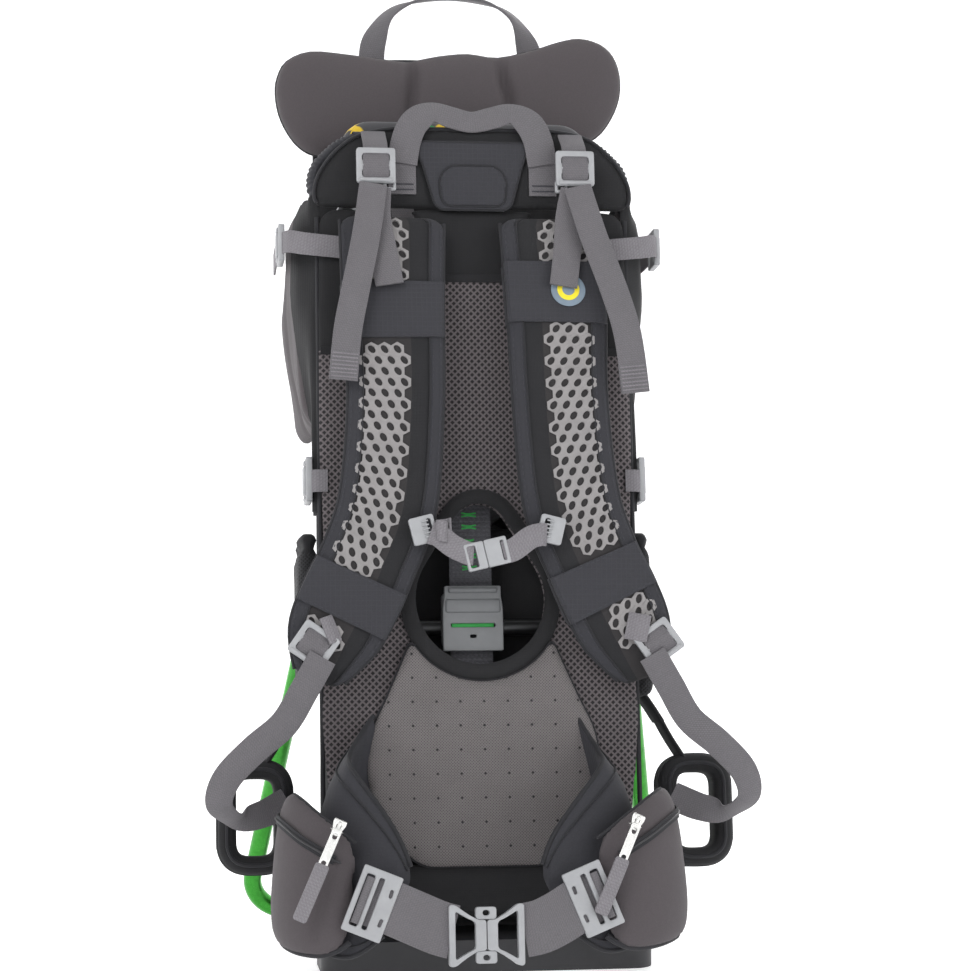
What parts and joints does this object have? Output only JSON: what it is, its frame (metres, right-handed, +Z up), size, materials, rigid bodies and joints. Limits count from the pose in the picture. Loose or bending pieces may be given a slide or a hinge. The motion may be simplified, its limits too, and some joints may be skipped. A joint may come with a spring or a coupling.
{
  "type": "child carrier backpack",
  "caption": "Framed backpack for carrying a small child, with a padded harness and hip belt, a cockpit with a head support, foot loops and a fold-out kickstand.",
  "frame": {"origin": "on the flat underside of the base boot, in the middle between the frame legs, under the face of the back panel", "axes": "+Z up along the standing height, +Y from the wearer side towards the child and the kickstand, +X to the right as seen from the wearer side"},
  "size_m": [0.4878, 0.4767, 0.9043],
  "materials": {
    "frame_metal": "satin anodised tube",
    "bracket_steel": "black powder coat",
    "bright_metal": "bright zinc",
    "black_plastic": "matte moulded",
    "black_rubber": "matte rubber",
    "spacer_mesh": "open spacer mesh",
    "lumbar_mesh": "fine perforated mesh",
    "black_fabric": "plain weave",
    "navy_fabric": "fine ripstop",
    "lining_fabric": "brushed lining",
    "softshell": "matte softshell",
    "webbing": "ribbed webbing",
    "ladder_webbing": "ribbed webbing with marks",
    "grey_plastic": "satin acetal",
    "slider_plastic": "satin acetal",
    "strap_fabric": "padded strap with lattice mesh",
    "green_metal": "green anodised"
  },
  "bodies": {
    "pack": {"back_frame": "frame_metal", "cross_tubes": "frame_metal", "cockpit_hoop": "frame_metal", "hinge_brackets": "bracket_steel", "frame_rivets": "bright_metal", "base_boot": "black_plastic", "back_panel": "spacer_mesh", "panel_rim": "black_fabric", "lumbar_pad": "lumbar_mesh", "base_panel": "black_fabric", "top_panel": "black_fabric", "cover_patch": "navy_fabric", "rim_bolster": "navy_fabric", "face_pad": "lining_fabric", "cockpit_side_left": "softshell", "cockpit_side_right": "softshell", "cockpit_rear": "black_fabric", "storage_bag": "black_fabric", "side_pockets": "black_fabric", "head_support": "softshell", "webbing_anchors": "webbing", "side_straps": "webbing", "side_buckles": "grey_plastic", "adjuster_slider": "slider_plastic", "lower_webbing": "webbing", "lifter_tails": "webbing", "hip_wing_left": "navy_fabric", "hip_wing_right": "navy_fabric", "hip_pocket_left": "softshell", "hip_pocket_right": "softshell", "hip_webbing": "webbing", "hip_triglides": "grey_plastic", "hip_buckle_socket": "grey_plastic", "hip_buckle_plug": "grey_plastic", "zip_sliders": "bright_metal", "kickstand_pins": "bright_metal"},
    "harness": {"yoke_plate": "black_plastic", "ladder_webbing": "ladder_webbing", "shoulder_strap_left": "strap_fabric", "shoulder_strap_right": "strap_fabric", "lifter_webbing": "webbing"},
    "sternum_strap": {"sternum_slides": "grey_plastic", "sternum_webbing": "webbing", "sternum_buckle": "grey_plastic"},
    "upper_prong": {"hip_prong_upper": "grey_plastic"},
    "lower_prong": {"hip_prong_lower": "grey_plastic"},
    "zip_pull_l": {"zip_pull_left": "webbing"},
    "zip_pull_r": {"zip_pull_right": "webbing"},
    "upper_lock_l": {"lock_upper_left": "grey_plastic"},
    "upper_lock_r": {"lock_upper_right": "grey_plastic"},
    "lower_lock_l": {"lock_lower_left": "grey_plastic"},
    "lower_lock_r": {"lock_lower_right": "grey_plastic"},
    "foot_loop_l": {"stirrup_left": "black_fabric"},
    "foot_loop_r": {"stirrup_right": "black_fabric"},
    "rear_handle": {"carry_handle": "webbing"},
    "front_handle": {"grab_handle": "webbing"},
    "kickstand": {"kickstand_tube": "green_metal", "kickstand_feet": "black_rubber"},
    "seat": {"child_seat": "lining_fabric", "child_harness": "webbing"}
  },
  "joints": [
    {"name": "kickstand_fold", "type": "hinge", "parent": "pack", "child": "kickstand", "pos_m": [0, 0.13088, 0.28455], "axis": [1, 0, 0], "range_deg": [-33, 0]},
    {"name": "back_length", "type": "slide", "parent": "pack", "child": "harness", "axis": [0, 0.1392, 0.9903], "range_m": [-0.04, 0.02]},
    {"name": "sternum_height", "type": "slide", "parent": "harness", "child": "sternum_strap", "axis": [0, 0.1392, 0.9903], "range_m": [0, 0.05]},
    {"name": "seat_height", "type": "slide", "parent": "pack", "child": "seat", "axis": [0, 0.1392, 0.9903], "range_m": [-0.004, 0.06]},
    {"name": "rear_handle_swing", "type": "hinge", "parent": "pack", "child": "rear_handle", "pos_m": [0, 0.30892, 0.81494], "axis": [1, 0, 0], "range_deg": [-95, 0]},
    {"name": "front_handle_swing", "type": "hinge", "parent": "pack", "child": "front_handle", "pos_m": [0, 0.09227, 0.72118], "axis": [1, 0, 0], "range_deg": [0, 75]},
    {"name": "upper_lock_tilt_l", "type": "hinge", "parent": "pack", "child": "upper_lock_l", "pos_m": [-0.09, 0.07303, 0.72085], "axis": [1, 0, 0], "range_deg": [-35, 0]},
    {"name": "upper_lock_tilt_r", "type": "hinge", "parent": "pack", "child": "upper_lock_r", "pos_m": [0.09, 0.07303, 0.72085], "axis": [1, 0, 0], "range_deg": [-35, 0]},
    {"name": "lower_lock_tilt_l", "type": "hinge", "parent": "harness", "child": "lower_lock_l", "pos_m": [-0.142, -0.00491, 0.29556], "axis": [0.8192, -0.0798, -0.568], "range_deg": [-35, 0]},
    {"name": "lower_lock_tilt_r", "type": "hinge", "parent": "harness", "child": "lower_lock_r", "pos_m": [0.142, -0.00491, 0.29556], "axis": [0.8192, 0.0798, 0.568], "range_deg": [-35, 0]},
    {"name": "foot_loop_swing_l", "type": "hinge", "parent": "pack", "child": "foot_loop_l", "pos_m": [-0.168, 0.07732, 0.20524], "axis": [0, 0.9903, -0.1392], "range_deg": [0, 40]},
    {"name": "foot_loop_swing_r", "type": "hinge", "parent": "pack", "child": "foot_loop_r", "pos_m": [0.168, 0.07732, 0.20524], "axis": [0, 0.9903, -0.1392], "range_deg": [-40, 0]},
    {"name": "zip_pull_lift_l", "type": "hinge", "parent": "pack", "child": "zip_pull_l", "pos_m": [-0.14, -0.1281, 0.1412], "axis": [1, 0, 0], "range_deg": [-90, 0]},
    {"name": "zip_pull_lift_r", "type": "hinge", "parent": "pack", "child": "zip_pull_r", "pos_m": [0.108, -0.1281, 0.1412], "axis": [1, 0, 0], "range_deg": [-90, 0]},
    {"name": "upper_prong_press", "type": "slide", "parent": "pack", "child": "upper_prong", "axis": [0, -0.1392, -0.9903], "range_m": [0, 0.003], "stiffness_N_per_m": 600},
    {"name": "lower_prong_press", "type": "slide", "parent": "pack", "child": "lower_prong", "axis": [0, 0.1392, 0.9903], "range_m": [0, 0.003], "stiffness_N_per_m": 600}
  ]
}
